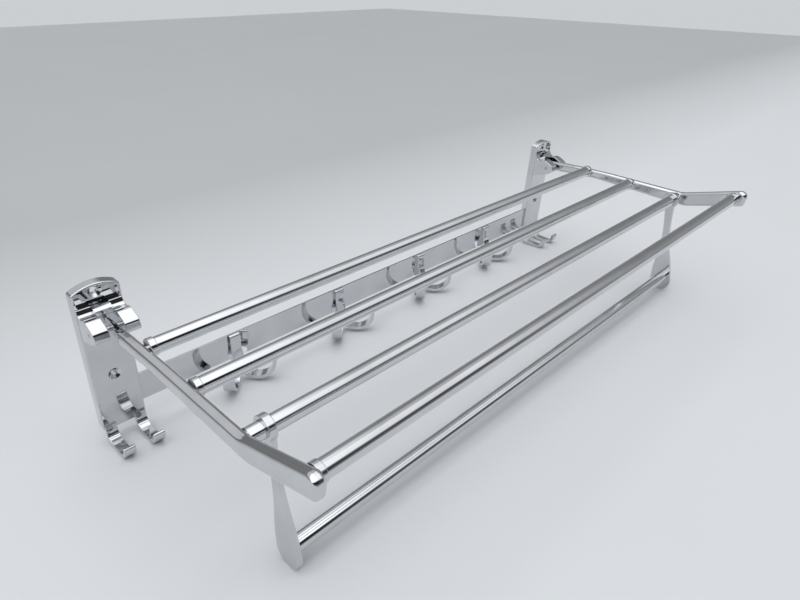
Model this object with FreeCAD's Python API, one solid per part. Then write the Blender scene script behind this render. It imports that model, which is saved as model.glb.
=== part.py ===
import FreeCAD, Part
import math
import os

# Folding wall rack for towels. X runs along the rack, the wall is the plane Y = 0,
# the front is -Y, Z is up.
# The origin is the centre of the four wall screws, on the wall. All sizes are in mm.
V = FreeCAD.Vector

# overall
LENGTH = 600.0
BRACKET_W = 34.0
SIDE_X = LENGTH / 2 - BRACKET_W / 2
SCREW_Z = 35.0

# wall brackets
PLATE_D = 8.0
PLATE_BOTTOM = -83.0
PLATE_CORNER = 37.6
PLATE_TOP = 42.3
WALL_T = 2.5
SCREW_R = 2.6
SCREW_HEAD_R = 4.8
DISH_RIM = 1.9
DISH_DEPTH = 3.2
DISH_Z = 27.0

# hinge
HINGE_Y = -25.0
HINGE_Z = 15.0
LUG_OUT = 16.2
SLOT_HALF = 5.75
WEB_FRONT = -14.0
LEDGE_FRONT = -15.4
LEDGE_BACK_Z = 28.2
LEDGE_FRONT_Z = 25.0
PIN_R = 2.0
RUNNING_GAP = 0.05

# bracket hooks
J_W = 8.8
J_T = 3.2
J_X = 11.7
J_BEND = 11.8
J_BOTTOM = -93.0
J_FRONT = -41.2
J_TIP_Z = -79.2

# back rail
RAIL_FRONT = -PLATE_D + WALL_T
RAIL_T = 1.8
RAIL_Z0 = -71.0
RAIL_Z1 = -46.0
RAIL_END = SIDE_X + 9.0

# hooks on the rail
HOOK_X = (-180.0, -60.0, 60.0, 180.0)
HOOK_SPLAY = 43.0
HOOK_W = 9.5
HOOK_T = 3.0
HOOK_R = 16.8
HOOK_BEND_Z = -72.0
HOOK_TIP_Z = -67.0
POST_W = 10.5
POST_T = 3.0
POST_FOOT_T = 5.6
POST_TOP = -46.2
STUD_R = 2.5
STUD_Z = (RAIL_Z0 + RAIL_Z1) / 2 - 2

# side arms
ARM_T = 8.0
ARM_HALF = 4.5
HEEL = 10.7
TONGUE_T = 4.0
TONGUE_END = -52.0
ARM_IN = 280.8
ARM_ROUND = 3.0
KINK = (-188.0, 28.4)
TIP = (-254.0, 50.3)

# tubes
TUBE_R = 5.8
TUBE_WALL = 1.0
TUBE_Z = 22.3
TUBE_Y = (-73.9, -129.2, -184.5)
FRONT_TUBE = (-241.5, 38.5)
FERRULE_R = 6.6
FERRULE_L = 4.5
PLUG_L = 9.0
PEG_R = 1.8
PEG_L = 12.0

# hanging bar
EYE_R = 8.4
EYE_OUT = 271.2
EYE_IN = 266.0
LEG_OUT = 269.0
LEG_T = 3.5
LEG_HEAD_R = 7.0
BAR = (-200.5, -65.0)
FOOT = (-198.7, -71.0)
FOOT_R = 11.2

os.makedirs("parts", exist_ok=True)


def save(shape, name):
    shape.exportStep("parts/%s.step" % name)


def box(x0, x1, y0, y1, z0, z1):
    return Part.makeBox(x1 - x0, y1 - y0, z1 - z0, V(x0, y0, z0))


def rod(radius, x0, x1, y, z):
    return Part.makeCylinder(radius, x1 - x0, V(x0, y, z), V(1, 0, 0))


def bore_y(radius, y0, y1, x, z):
    return Part.makeCylinder(radius, y1 - y0, V(x, y0, z), V(0, 1, 0))


def rounded_outline(points, radii, x):
    """Closed wire in the plane X = x through (y, z) points, each corner rounded by its radius."""
    count = len(points)
    corners = []
    for i in range(count):
        here = V(x, points[i][0], points[i][1])
        before = V(x, points[i - 1][0], points[i - 1][1])
        after = V(x, points[(i + 1) % count][0], points[(i + 1) % count][1])
        if radii[i] == 0:
            corners.append((here, None, here))
            continue
        back = (before - here).normalize()
        ahead = (after - here).normalize()
        half = back.getAngle(ahead) / 2
        reach = radii[i] / math.tan(half)
        inward = (back + ahead).normalize()
        middle = here + inward * (radii[i] / math.sin(half) - radii[i])
        corners.append((here + back * reach, middle, here + ahead * reach))
    edges = []
    for i in range(count):
        start, middle, end = corners[i]
        if middle is not None:
            edges.append(Part.Arc(start, middle, end).toShape())
        following = corners[(i + 1) % count][0]
        if end.distanceToPoint(following) > 1e-6:
            edges.append(Part.makeLine(end, following))
    return Part.Wire(edges)


def plate_outline(inset, y):
    """Bracket face outline with its arched top, moved inward by inset, in the plane Y = y."""
    half = BRACKET_W / 2 - inset
    low = V(-half, y, PLATE_BOTTOM + inset)
    left = V(-half, y, PLATE_CORNER - inset)
    crown = V(0, y, PLATE_TOP - inset)
    right = V(half, y, PLATE_CORNER - inset)
    last = V(half, y, PLATE_BOTTOM + inset)
    arch = Part.Arc(left, crown, right).toShape()
    return Part.Wire([Part.makeLine(low, left), arch, Part.makeLine(right, last), Part.makeLine(last, low)])


def edges_where(shape, test):
    return [edge for edge in shape.Edges if test(edge)]


def j_hook(x):
    """Strip about the plane X = x: down from the bracket, forward in a shallow U, up to a round tip."""
    back = -PLATE_D + J_T / 2
    points = [(back, PLATE_BOTTOM + 5), (back, J_BOTTOM), (J_FRONT, J_BOTTOM), (J_FRONT, J_TIP_Z),
              (J_FRONT + J_T, J_TIP_Z), (J_FRONT + J_T, J_BOTTOM + J_T), (back - J_T, J_BOTTOM + J_T),
              (back - J_T, PLATE_BOTTOM + 5)]
    round_tip = J_T / 2 - 0.01
    radii = [0, J_BEND, J_BEND, round_tip, round_tip, J_BEND - J_T, J_BEND - J_T, 0]
    hook = Part.Face(rounded_outline(points, radii, x - J_W / 2)).extrude(V(J_W, 0, 0))
    sides = edges_where(hook, lambda e: e.BoundBox.XLength < 1e-6 and e.BoundBox.ZMin < PLATE_BOTTOM + 4)
    return hook.makeFillet(0.5, sides)


def lug(x0, x1):
    """Hinge lug: a ridge at the plate, a hollow, then a domed nose that falls towards the front."""
    points = [(-PLATE_D + 1, 26.8), (-PLATE_D - 0.8, 26.8), (-12.2, 21.6), (-21.5, 24.4), (-32.6, 19.4),
              (-34.8, 12.6), (-29.5, 8.8), (-PLATE_D + 1, 1.0)]
    radii = [0, 0.8, 3.5, 8.0, 4.5, 2.5, 4.0, 0]
    body = Part.Face(rounded_outline(points, radii, x0)).extrude(V(x1 - x0, 0, 0))
    sides = edges_where(body, lambda e: e.BoundBox.XLength < 1e-6 and e.BoundBox.YMax < -PLATE_D + 0.9)
    return body.makeFillet(0.5, sides)


def wall_bracket(inner_side):
    """Bracket about X = 0; inner_side is +1 or -1, the side the rail enters from."""
    body = Part.Face(plate_outline(0, -PLATE_D)).extrude(V(0, PLATE_D, 0))
    upright = edges_where(body, lambda e: abs(e.tangentAt(e.FirstParameter).y) > 0.99)
    body = body.makeFillet(2.5, upright)
    front = edges_where(body, lambda e: abs(e.BoundBox.YMax + PLATE_D) < 1e-6)
    body = body.makeFillet(1.2, front)
    dish = Part.Face(plate_outline(DISH_RIM, -PLATE_D - 1)).extrude(V(0, DISH_DEPTH + 1, 0))
    dish = dish.common(box(-20, 20, -20, 0, DISH_Z, 60))
    corners = edges_where(dish, lambda e: abs(e.tangentAt(e.FirstParameter).y) > 0.99)
    dish = dish.makeFillet(2.0, corners)
    body = body.cut(dish)
    pocket = box(-BRACKET_W / 2 + 2.2, BRACKET_W / 2 - 2.2, RAIL_FRONT, 1, PLATE_BOTTOM + 2.2, 6.0)
    body = body.cut(pocket)
    body = body.fuse(bore_y(6.0, RAIL_FRONT - 1, 0, 0, -SCREW_Z))
    body = body.fuse([lug(-LUG_OUT, -SLOT_HALF), lug(SLOT_HALF, LUG_OUT)])
    web_points = [(-PLATE_D + 1, 1.0), (-PLATE_D + 1, LEDGE_BACK_Z), (LEDGE_FRONT, LEDGE_FRONT_Z),
                  (LEDGE_FRONT, LEDGE_FRONT_Z - 1.5), (WEB_FRONT, LEDGE_FRONT_Z - 4.5), (WEB_FRONT, 5.0)]
    web = Part.Face(rounded_outline(web_points, [0, 0, 0.5, 0.5, 2, 0], -SLOT_HALF - 0.6))
    body = body.fuse(web.extrude(V(2 * SLOT_HALF + 1.2, 0, 0)))
    body = body.fuse([j_hook(-J_X), j_hook(J_X)])
    body = body.cut(rod(PIN_R, -LUG_OUT - 1, LUG_OUT + 1, HINGE_Y, HINGE_Z))
    for z in (-SCREW_Z, SCREW_Z):
        face_y = -PLATE_D if z < 0 else -PLATE_D + DISH_DEPTH
        sink = SCREW_HEAD_R - SCREW_R
        body = body.cut(bore_y(SCREW_R, -PLATE_D - 1, 1, 0, z))
        body = body.cut(Part.makeCone(SCREW_HEAD_R, SCREW_R, sink * 0.8, V(0, face_y, z), V(0, 1, 0)))
    wall_x = inner_side * (BRACKET_W / 2 - 3)
    gate = box(min(wall_x, wall_x + inner_side * 6), max(wall_x, wall_x + inner_side * 6),
               RAIL_FRONT, RAIL_FRONT + RAIL_T, RAIL_Z0, RAIL_Z1)
    return body.cut(gate).removeSplitter()


def hook_prong(side):
    """One prong about the rail face point (0, RAIL_FRONT), bent in an upright plane, then splayed."""
    front = RAIL_FRONT - HOOK_T / 2 - HOOK_R
    outer = HOOK_R + HOOK_T / 2
    inner = HOOK_R - HOOK_T / 2
    half = HOOK_W / 2
    ring = rod(outer, -half, half, front, HOOK_BEND_Z)
    ring = ring.cut(rod(inner, -half - 1, half + 1, front, HOOK_BEND_Z))
    ring = ring.cut(box(-half - 1, half + 1, front - outer - 1, front + outer + 1,
                        HOOK_BEND_Z, HOOK_BEND_Z + outer + 1))
    rise = box(-half, half, front - outer, front - inner, HOOK_BEND_Z, HOOK_TIP_Z)
    rise = rise.fuse(rod(HOOK_T / 2, -half, half, front - HOOK_R, HOOK_TIP_Z))
    root = box(-half, half, front + inner, RAIL_FRONT, HOOK_BEND_Z, HOOK_BEND_Z + 2)
    prong = ring.fuse([rise, root])
    prong.rotate(V(0, RAIL_FRONT, 0), V(0, 0, 1), side * HOOK_SPLAY)
    return prong


def rail_hook():
    """Two splayed prongs below a post that thickens towards them, with a stud through the rail."""
    face_y = RAIL_FRONT - POST_T
    foot_y = RAIL_FRONT - POST_FOOT_T
    foot_z = HOOK_BEND_Z - 3
    points = [(RAIL_FRONT, POST_TOP), (face_y, POST_TOP), (face_y, POST_TOP - 14),
              (foot_y, HOOK_BEND_Z + 3), (foot_y, foot_z), (RAIL_FRONT, foot_z)]
    radii = [0, 2.4, 12, 4, 2, 0]
    post = Part.Face(rounded_outline(points, radii, -POST_W / 2)).extrude(V(POST_W, 0, 0))
    crown = edges_where(post, lambda e: e.BoundBox.XLength < 1e-6 and e.BoundBox.YMin < RAIL_FRONT - 0.1
                        and e.BoundBox.ZMax > HOOK_BEND_Z + 1)
    post = post.makeFillet(0.9, crown)
    body = post.fuse([hook_prong(-1), hook_prong(1)])
    behind = box(-40, 40, RAIL_FRONT, RAIL_FRONT + 30, -100, 0)
    body = body.cut(behind)
    body = body.fuse(bore_y(STUD_R, RAIL_FRONT - 1, RAIL_FRONT + RAIL_T + 0.6, 0, STUD_Z))
    return body.removeSplitter()


def side_arm(side):
    """Arm with rounded edges on the side -1 or +1; its round heel turns clear of the web."""
    low = HINGE_Z - ARM_HALF
    high = HINGE_Z + ARM_HALF
    back = HINGE_Y + HEEL
    points = [(back, low), (back, high), (-56.0, 23.3), (-102.0, 25.9), KINK, TIP,
              (TIP[0] + 1.8, TIP[1] - 17.4), (-194.0, 15.0), (-84.0, 15.4), (-31.0, low)]
    radii = [ARM_HALF - 0.1, ARM_HALF - 0.1, 60, 60, 24, 6.0, 3.4, 40, 60, 30]
    start = side * (ARM_IN + ARM_T / 2) - ARM_T / 2
    face = Part.Face(rounded_outline(points, radii, start))
    arm = face.extrude(V(ARM_T, 0, 0))
    flat = edges_where(arm, lambda e: e.BoundBox.XLength < 1e-6)
    arm = arm.makeFillet(ARM_ROUND, flat)
    outer = side * (ARM_IN + ARM_T + 1)
    tongue = side * (ARM_IN + TONGUE_T)
    corners = [V(outer, back + 1, 0), V(side * (ARM_IN + 2.6), back + 1, 0), V(tongue, HINGE_Y - 7, 0),
               V(outer, TONGUE_END, 0)]
    shave = Part.Face(Part.makePolygon(corners + corners[:1])).extrude(V(0, 0, high + 2))
    arm = arm.cut(shave)
    arm = arm.cut(rod(PIN_R + RUNNING_GAP, start - 1, start + ARM_T + 1, HINGE_Y, HINGE_Z))
    sunk = side * (ARM_IN + ARM_ROUND)
    end = side * (ARM_IN - PEG_L)
    for y, z in ((TUBE_Y[0], TUBE_Z), (TUBE_Y[1], TUBE_Z), FRONT_TUBE):
        arm = arm.fuse(rod(PEG_R, min(sunk, end), max(sunk, end), y, z))
    arm = arm.fuse(rod(TUBE_R - TUBE_WALL, min(sunk, end), max(sunk, end), TUBE_Y[2], TUBE_Z))
    return arm.removeSplitter()


def tube(half_length, y, z):
    outer = rod(TUBE_R, -half_length, half_length, y, z)
    return outer.cut(rod(TUBE_R - TUBE_WALL, -half_length - 1, half_length + 1, y, z))


def ferrule(side, y, z):
    """Stepped bush between an arm and a tube: collar outside, plug inside the tube."""
    face = side * ARM_IN
    step = face - side * FERRULE_L
    end = step - side * PLUG_L
    ring = rod(FERRULE_R, min(face, step), max(face, step), y, z)
    rims = edges_where(ring, lambda e: abs(e.BoundBox.XLength) < 1e-6)
    ring = ring.makeFillet(0.5, rims)
    plug = rod(TUBE_R - TUBE_WALL, min(step, end), max(step, end), y, z)
    bush = ring.fuse(plug)
    return bush.cut(rod(PEG_R, -LENGTH, LENGTH, y, z))


def hanger_leg(side):
    """Blade with an eye on the third tube, slender below it, flaring to the foot that holds the bar."""
    eye = V(0, TUBE_Y[2], TUBE_Z)
    foot = V(0, FOOT[0], FOOT[1])
    along = (foot - eye).normalize()
    across = V(0, -along.z, along.y)
    reach = foot.distanceToPoint(eye)
    x = min(side * LEG_OUT, side * (LEG_OUT - LEG_T))
    widths = [(4.0, 5.2), (12.0, 4.2), (27.0, 3.5), (38.0, 3.5), (48.0, 4.3), (57.0, 5.6),
              (66.0, 7.3), (75.0, 9.0), (84.0, 10.3)]
    join = math.radians(18)
    widths.append((reach - FOOT_R * math.sin(join), FOOT_R * math.cos(join)))
    sides = []
    for sign in (1, -1):
        row = [V(x, 0, 0) + eye + along * s + across * (sign * w) for s, w in widths]
        curve = Part.BSplineCurve()
        curve.interpolate(row)
        sides.append((curve, row))
    bottom = V(x, 0, 0) + foot + along * FOOT_R
    arc = Part.Arc(sides[0][1][-1], bottom, sides[1][1][-1]).toShape()
    top = Part.makeLine(sides[1][1][0], sides[0][1][0])
    outline = Part.Wire(Part.__sortEdges__([sides[0][0].toShape(), arc, sides[1][0].toShape(), top]))
    blade = Part.Face(outline).extrude(V(LEG_T, 0, 0))
    blade = blade.fuse(rod(LEG_HEAD_R, x, x + LEG_T, TUBE_Y[2], TUBE_Z))
    ends = sorted((side * EYE_OUT, side * EYE_IN))
    ring = rod(EYE_R, ends[0], ends[1], TUBE_Y[2], TUBE_Z)
    rims = edges_where(ring, lambda e: abs(e.BoundBox.XLength) < 1e-6)
    ring = ring.makeFillet(0.6, rims)
    inner = side * (LEG_OUT - LEG_T)
    end = inner - side * PEG_L
    peg = rod(TUBE_R - TUBE_WALL, min(inner + side, end), max(inner + side, end), BAR[0], BAR[1])
    leg = blade.fuse([ring, peg])
    return leg.cut(rod(TUBE_R + RUNNING_GAP, -LENGTH, LENGTH, TUBE_Y[2], TUBE_Z)).removeSplitter()


# wall frame
for name, side in (("left", -1), ("right", 1)):
    bracket = wall_bracket(-side)
    bracket.translate(V(side * SIDE_X, 0, 0))
    save(bracket, "wall_bracket_" + name)
    pin = rod(PIN_R, side * SIDE_X - LUG_OUT, side * SIDE_X + LUG_OUT, HINGE_Y, HINGE_Z)
    save(pin, "hinge_pin_" + name)

rail = box(-RAIL_END, RAIL_END, RAIL_FRONT, RAIL_FRONT + RAIL_T, RAIL_Z0, RAIL_Z1)
for x in HOOK_X:
    rail = rail.cut(bore_y(STUD_R, RAIL_FRONT - 1, RAIL_FRONT + RAIL_T + 1, x, STUD_Z))
save(rail, "hook_rail")

for number, x in enumerate(HOOK_X, 1):
    hook = rail_hook()
    hook.translate(V(x, 0, 0))
    save(hook, "rail_hook_%d" % number)

# folding shelf
for name, side in (("left", -1), ("right", 1)):
    save(side_arm(side), "side_arm_" + name)
    for number, spot in ((1, (TUBE_Y[0], TUBE_Z)), (2, (TUBE_Y[1], TUBE_Z)), (4, FRONT_TUBE)):
        save(ferrule(side, spot[0], spot[1]), "ferrule_%d_%s" % (number, name))

collared = ARM_IN - FERRULE_L
for number, y, z, end in ((1, TUBE_Y[0], TUBE_Z, collared), (2, TUBE_Y[1], TUBE_Z, collared),
                          (3, TUBE_Y[2], TUBE_Z, ARM_IN), (4, FRONT_TUBE[0], FRONT_TUBE[1], collared)):
    save(tube(end, y, z), "shelf_tube_%d" % number)

# hanging bar
for name, side in (("left", -1), ("right", 1)):
    save(hanger_leg(side), "hanger_leg_" + name)
save(tube(LEG_OUT - LEG_T, BAR[0], BAR[1]), "towel_bar")
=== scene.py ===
import math

import bpy
from mathutils import Matrix, Vector

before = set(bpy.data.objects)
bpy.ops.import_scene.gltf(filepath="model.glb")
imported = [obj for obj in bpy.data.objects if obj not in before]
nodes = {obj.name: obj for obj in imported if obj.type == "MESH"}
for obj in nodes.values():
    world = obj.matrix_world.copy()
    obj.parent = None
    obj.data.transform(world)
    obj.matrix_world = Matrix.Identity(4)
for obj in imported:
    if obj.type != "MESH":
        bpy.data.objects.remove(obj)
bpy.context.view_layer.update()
scene = bpy.context.scene

# camera, in the rack's frame (metres and degrees)
CAMERA_AT = (-0.4093, -0.4063, 0.2602)
CAMERA_AZIMUTH = -47.72
CAMERA_DOWN = 30.81
CAMERA_ROLL = 3.62
LENS = 27.73
SENSOR = 36.0

# floor
FLOOR_BACK = 4.0
FLOOR_SIDE = 4.0
FLOOR_FRONT = -1.6
LEVEL_FROM = -0.33
LEVEL_OVER = 0.16
FLOOR_STEPS = 60

# room brightness by angle above the front horizon, from across the rack to along it (degrees, level)
ACROSS = [(-180, 0.55), (-20, 0.52), (6, 0.32), (13, 0.03), (41, 0.03), (46, 1.5), (118, 1.6),
          (124, 0.74), (152, 0.66), (157, 0.24), (172, 0.22), (180, 0.50)]
BETWEEN = [(-180, 0.55), (-22, 0.52), (-5, 0.36), (8, 0.18), (17, 0.08), (30, 0.08), (44, 1.0), (90, 1.1),
           (100, 0.62), (118, 0.58), (133, 0.38), (152, 0.24), (174, 0.24), (180, 0.38)]
ALONG = [(-180, 0.52), (-60, 0.50), (-35, 0.36), (-12, 0.25), (5, 0.28), (28, 0.40), (60, 0.32), (100, 0.26),
         (160, 0.24), (180, 0.38)]

# colours (linear)
CAST = (0.66, 0.67, 0.69, 1.0)
TUBE = (0.68, 0.69, 0.71, 1.0)
RAIL = (0.65, 0.66, 0.68, 1.0)
PIN = (0.50, 0.50, 0.51, 1.0)
PALE = (0.665, 0.685, 0.70, 1.0)
# painted shade: share of the table's colour left far behind the rack, standing in for light falling off
BACK_SHADE = 0.69
MOTTLE = 0.975
BACKDROP = (0.60, 0.62, 0.64, 1.0)

# depth behind the wall plane over which painted shade darkens the table, standing in for light falling off
# with distance (metres)
SHADE_FROM = 0.02
SHADE_FULL = 0.50

# sideways part of the view direction over which one room brightness gives way to the next
LEAVE_ACROSS = 0.38
REACH_BETWEEN = 0.54
LEAVE_BETWEEN = 0.68
REACH_ALONG = 0.86

# overhead light (watts and metres)
LIGHT_POWER = 2.5
LIGHT_SIZE = (1.6, 1.2)
LIGHT_AT = (0.2, 0.1, 1.5)


def new_material(name):
    material = bpy.data.materials.new(name)
    material.use_nodes = True
    tree = material.node_tree
    shader = tree.nodes["Principled BSDF"]
    place = tree.nodes.new("ShaderNodeTexCoord")
    return material, tree, shader, place.outputs["Object"]


def stretched(tree, place, scale):
    mapping = tree.nodes.new("ShaderNodeMapping")
    mapping.inputs["Scale"].default_value = scale
    tree.links.new(place, mapping.inputs["Vector"])
    return mapping.outputs["Vector"]


def noise(tree, vector, scale, detail=3.0, rough=0.55):
    node = tree.nodes.new("ShaderNodeTexNoise")
    node.inputs["Scale"].default_value = scale
    node.inputs["Detail"].default_value = detail
    node.inputs["Roughness"].default_value = rough
    tree.links.new(vector, node.inputs["Vector"])
    return node.outputs["Fac"]


def span(tree, value, low, high, out_low, out_high):
    node = tree.nodes.new("ShaderNodeMapRange")
    node.inputs["From Min"].default_value = low
    node.inputs["From Max"].default_value = high
    node.inputs["To Min"].default_value = out_low
    node.inputs["To Max"].default_value = out_high
    tree.links.new(value, node.inputs["Value"])
    return node.outputs["Result"]


def joined(tree, operation, a, b):
    node = tree.nodes.new("ShaderNodeMath")
    node.operation = operation
    tree.links.new(a, node.inputs[0])
    tree.links.new(b, node.inputs[1])
    return node.outputs["Value"]


def blend(tree, factor, first, second):
    """Colour that runs from first to second; 6 and 7 are the colour inputs of a Mix node, 2 its output."""
    node = tree.nodes.new("ShaderNodeMix")
    node.data_type = "RGBA"
    tree.links.new(factor, node.inputs["Factor"])
    tree.links.new(first, node.inputs[6])
    tree.links.new(second, node.inputs[7])
    return node.outputs[2]


def tinted(tree, value, dark, light):
    ramp = tree.nodes.new("ShaderNodeValToRGB")
    ramp.color_ramp.elements[0].position = 0.3
    ramp.color_ramp.elements[0].color = dark
    ramp.color_ramp.elements[1].position = 0.7
    ramp.color_ramp.elements[1].color = light
    tree.links.new(value, ramp.inputs["Fac"])
    return ramp.outputs["Color"]


def bumped(tree, shader, heights):
    """Chains (height, strength, distance) bumps into the shader's normal."""
    last = None
    for height, strength, distance in heights:
        bump = tree.nodes.new("ShaderNodeBump")
        bump.inputs["Strength"].default_value = strength
        bump.inputs["Distance"].default_value = distance
        tree.links.new(height, bump.inputs["Height"])
        if last is not None:
            tree.links.new(last, bump.inputs["Normal"])
        last = bump.outputs["Normal"]
    tree.links.new(last, shader.inputs["Normal"])


def chrome(name, colour, polish_scale, wave_scale, wave_depth, smooth, dull):
    """Bright plating: polishing lines, faint smudges, a few dull specks and a slow waviness of the metal."""
    material, tree, shader, place = new_material(name)
    shader.inputs["Metallic"].default_value = 1.0
    dark = tuple(0.90 * c for c in colour[:3]) + (1.0,)
    smudge = noise(tree, place, 38.0, 4.0, 0.6)
    tree.links.new(tinted(tree, smudge, dark, colour), shader.inputs["Base Color"])
    lines = noise(tree, stretched(tree, place, polish_scale), 1.0, 2.0, 0.5)
    speck = span(tree, noise(tree, place, 900.0, 1.0, 0.4), 0.70, 0.78, 0.0, 0.18)
    film = span(tree, smudge, 0.35, 0.75, smooth, dull)
    rough = joined(tree, "ADD", film, span(tree, lines, 0.4, 0.9, 0.0, 0.03))
    tree.links.new(joined(tree, "ADD", rough, speck), shader.inputs["Roughness"])
    wave = noise(tree, stretched(tree, place, wave_scale), 1.0, 1.0, 0.4)
    bumped(tree, shader, [(wave, 1.0, wave_depth), (lines, 0.10, 0.00002)])
    return material


def ground_pin(name, colour):
    """Ground steel pin: rings from the turning tool round the X axis."""
    material, tree, shader, place = new_material(name)
    shader.inputs["Metallic"].default_value = 1.0
    rings = tree.nodes.new("ShaderNodeTexWave")
    rings.wave_type = "RINGS"
    rings.rings_direction = "X"
    rings.inputs["Scale"].default_value = 900.0
    rings.inputs["Distortion"].default_value = 1.5
    tree.links.new(place, rings.inputs["Vector"])
    dark = tuple(0.7 * c for c in colour[:3]) + (1.0,)
    tree.links.new(tinted(tree, rings.outputs["Fac"], dark, colour), shader.inputs["Base Color"])
    tree.links.new(span(tree, rings.outputs["Fac"], 0, 1, 0.22, 0.34), shader.inputs["Roughness"])
    bumped(tree, shader, [(rings.outputs["Fac"], 0.3, 0.00005)])
    return material


def table_top(name):
    """Pale matt table with a slight mottle and painted shade that darkens it behind the rack."""
    material, tree, shader, place = new_material(name)
    mottle = noise(tree, place, 2.5, 3.0, 0.5)
    darker = tuple(MOTTLE * c for c in PALE[:3]) + (1.0,)
    parts = tree.nodes.new("ShaderNodeSeparateXYZ")
    tree.links.new(place, parts.inputs["Vector"])
    # painted shade: the colour darkens with depth behind the rack, standing in for light falling off with
    # distance
    shade_mask = span(tree, parts.outputs["Y"], SHADE_FROM, SHADE_FULL, 0.0, 1.0)
    shade_tone = tuple(BACK_SHADE * c for c in PALE[:3]) + (1.0,)
    far = tinted(tree, mottle, tuple(MOTTLE * c for c in shade_tone[:3]) + (1.0,), shade_tone)
    cloth_and_shade = blend(tree, shade_mask, tinted(tree, mottle, darker, PALE), far)
    tree.links.new(cloth_and_shade, shader.inputs["Base Color"])
    shader.inputs["Roughness"].default_value = 0.55
    shader.inputs["Specular IOR Level"].default_value = 0.25
    bumped(tree, shader, [(noise(tree, place, 400.0), 0.05, 0.0002)])
    return material


def dress():
    """Gives every CAD node the finish of its kind."""
    cast = chrome("cast_chrome_finish", CAST, (300, 300, 300), (28, 28, 28), 0.0006, 0.03, 0.075)
    tube = chrome("tube_chrome_finish", TUBE, (6, 900, 900), (3, 40, 40), 0.0002, 0.035, 0.08)
    rail = chrome("rail_chrome_finish", RAIL, (5, 500, 500), (7, 7, 30), 0.0005, 0.03, 0.075)
    pin = ground_pin("pin_steel_finish", PIN)
    for name, piece in nodes.items():
        kind = cast
        if "tube" in name or name == "towel_bar":
            kind = tube
        if name == "hook_rail":
            kind = rail
        if name.startswith("hinge_pin"):
            kind = pin
        piece.data.materials.clear()
        piece.data.materials.append(kind)


def resting_tilt():
    """Tilt of the table that touches the bracket hooks and the feet of the hanging bar, and its height."""
    hooks = [v.co for v in nodes["wall_bracket_left"].data.vertices]
    feet = [v.co for v in nodes["hanger_leg_left"].data.vertices]
    low, high = 0.0, math.radians(20)
    for _ in range(40):
        tilt = (low + high) / 2
        up = Vector((0, math.sin(tilt), math.cos(tilt)))
        gap = min(up.dot(p) for p in feet) - min(up.dot(p) for p in hooks)
        if gap > 0:
            low = tilt
        else:
            high = tilt
    return tilt, min(up.dot(p) for p in hooks)


def make_floor():
    """Table top in the tilted plane, levelling off in front of the rack."""
    tilt, height = resting_tilt()
    slope = math.tan(tilt)
    at_zero = height / math.cos(tilt)
    depths = [FLOOR_BACK, 0.0, LEVEL_FROM]
    depths += [LEVEL_FROM - LEVEL_OVER * i / FLOOR_STEPS for i in range(1, FLOOR_STEPS + 1)]
    depths.append(FLOOR_FRONT)
    rows = []
    for y in depths:
        past = min(max((LEVEL_FROM - y) / LEVEL_OVER, 0.0), 1.0)
        over = LEVEL_OVER * (past - past * past / 2)
        z = at_zero - slope * max(y, LEVEL_FROM) + slope * over
        rows.append((y, z))
    points = []
    for y, z in rows:
        points += [(-FLOOR_SIDE, y, z), (FLOOR_SIDE, y, z)]
    faces = [(2 * i, 2 * i + 1, 2 * i + 3, 2 * i + 2) for i in range(len(rows) - 1)]
    mesh = bpy.data.meshes.new("table")
    mesh.from_pydata(points, [], faces)
    mesh.materials.append(table_top("table_finish"))
    mesh.shade_smooth()
    table = bpy.data.objects.new("table", mesh)
    scene.collection.objects.link(table)


def bands(tree, turn, stops):
    """Brightness of the room by the angle above the front horizon, from (degrees, level) stops."""
    ramp = tree.nodes.new("ShaderNodeValToRGB")
    elements = ramp.color_ramp.elements
    while len(elements) < len(stops):
        elements.new(0.5)
    for element, (degrees, value) in zip(elements, stops):
        element.position = (degrees + 180) / 360
        element.color = (value, value * 1.01, value * 1.03, 1.0)
    tree.links.new(turn, ramp.inputs["Fac"])
    return ramp.outputs["Color"]


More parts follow.
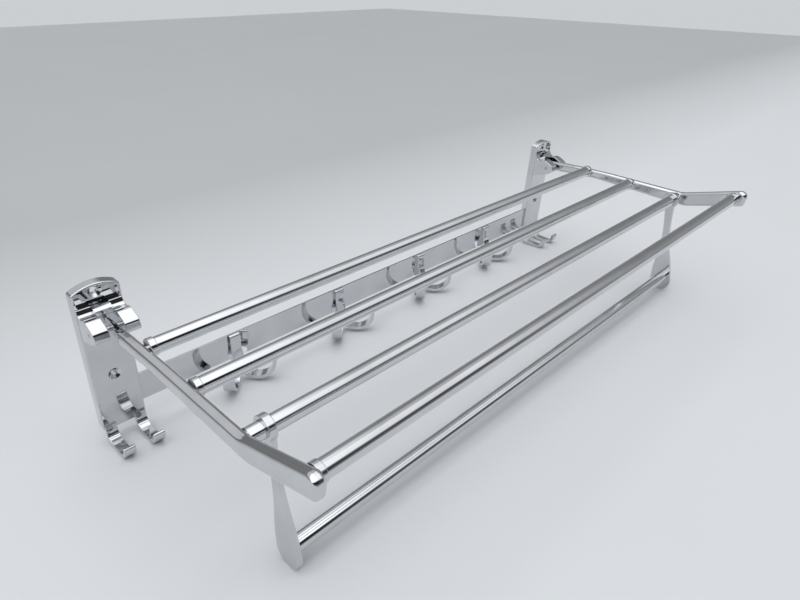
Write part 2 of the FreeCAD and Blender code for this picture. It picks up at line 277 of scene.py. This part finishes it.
def make_world():
    """Pale studio whose strip lights and dark gap run parallel to the rack, as seen in its reflections."""
    world = bpy.data.worlds.new("studio")
    scene.world = world
    world.use_nodes = True
    tree = world.node_tree
    background = tree.nodes["Background"]
    place = tree.nodes.new("ShaderNodeTexCoord")
    parts = tree.nodes.new("ShaderNodeSeparateXYZ")
    tree.links.new(place.outputs["Generated"], parts.inputs["Vector"])
    front = tree.nodes.new("ShaderNodeMath")
    front.operation = "MULTIPLY"
    front.inputs[1].default_value = -1.0
    tree.links.new(parts.outputs["Y"], front.inputs[0])
    angle = joined(tree, "ARCTAN2", parts.outputs["Z"], front.outputs["Value"])
    turn = span(tree, angle, -math.pi, math.pi, 0.0, 1.0)
    near = span(tree, parts.outputs["X"], LEAVE_ACROSS, REACH_BETWEEN, 0.0, 1.0)
    oblique = blend(tree, near, bands(tree, turn, ACROSS), bands(tree, turn, BETWEEN))
    far = span(tree, parts.outputs["X"], LEAVE_BETWEEN, REACH_ALONG, 0.0, 1.0)
    room = blend(tree, far, oblique, bands(tree, turn, ALONG))
    seen = tree.nodes.new("ShaderNodeLightPath")
    mix = tree.nodes.new("ShaderNodeMix")
    mix.data_type = "RGBA"
    tree.links.new(seen.outputs["Is Camera Ray"], mix.inputs["Factor"])
    tree.links.new(room, mix.inputs[6])
    mix.inputs[7].default_value = BACKDROP
    tree.links.new(mix.outputs[2], background.inputs["Color"])
    background.inputs["Strength"].default_value = 1.0


def make_lights():
    data = bpy.data.lights.new("overhead", "AREA")
    data.shape = "RECTANGLE"
    data.size, data.size_y = LIGHT_SIZE
    data.energy = LIGHT_POWER
    light = bpy.data.objects.new("overhead", data)
    light.location = LIGHT_AT
    light.visible_glossy = False
    scene.collection.objects.link(light)


def make_camera():
    azimuth, down, roll = (math.radians(a) for a in (CAMERA_AZIMUTH, CAMERA_DOWN, CAMERA_ROLL))
    flat = math.cos(down)
    forward = Vector((-math.sin(azimuth) * flat, math.cos(azimuth) * flat, -math.sin(down)))
    level = forward.cross(Vector((0, 0, 1))).normalized()
    above = level.cross(forward)
    right = level * math.cos(roll) + above * math.sin(roll)
    top = right.cross(forward)
    turn = Matrix((right, top, -forward)).transposed()
    data = bpy.data.cameras.new("camera")
    data.lens = LENS
    data.sensor_width = SENSOR
    data.clip_start = 0.01
    camera = bpy.data.objects.new("camera", data)
    camera.matrix_world = Matrix.Translation(CAMERA_AT) @ turn.to_4x4()
    scene.collection.objects.link(camera)
    scene.camera = camera


scene.view_settings.view_transform = "Standard"
dress()
make_floor()
make_world()
make_lights()
make_camera()
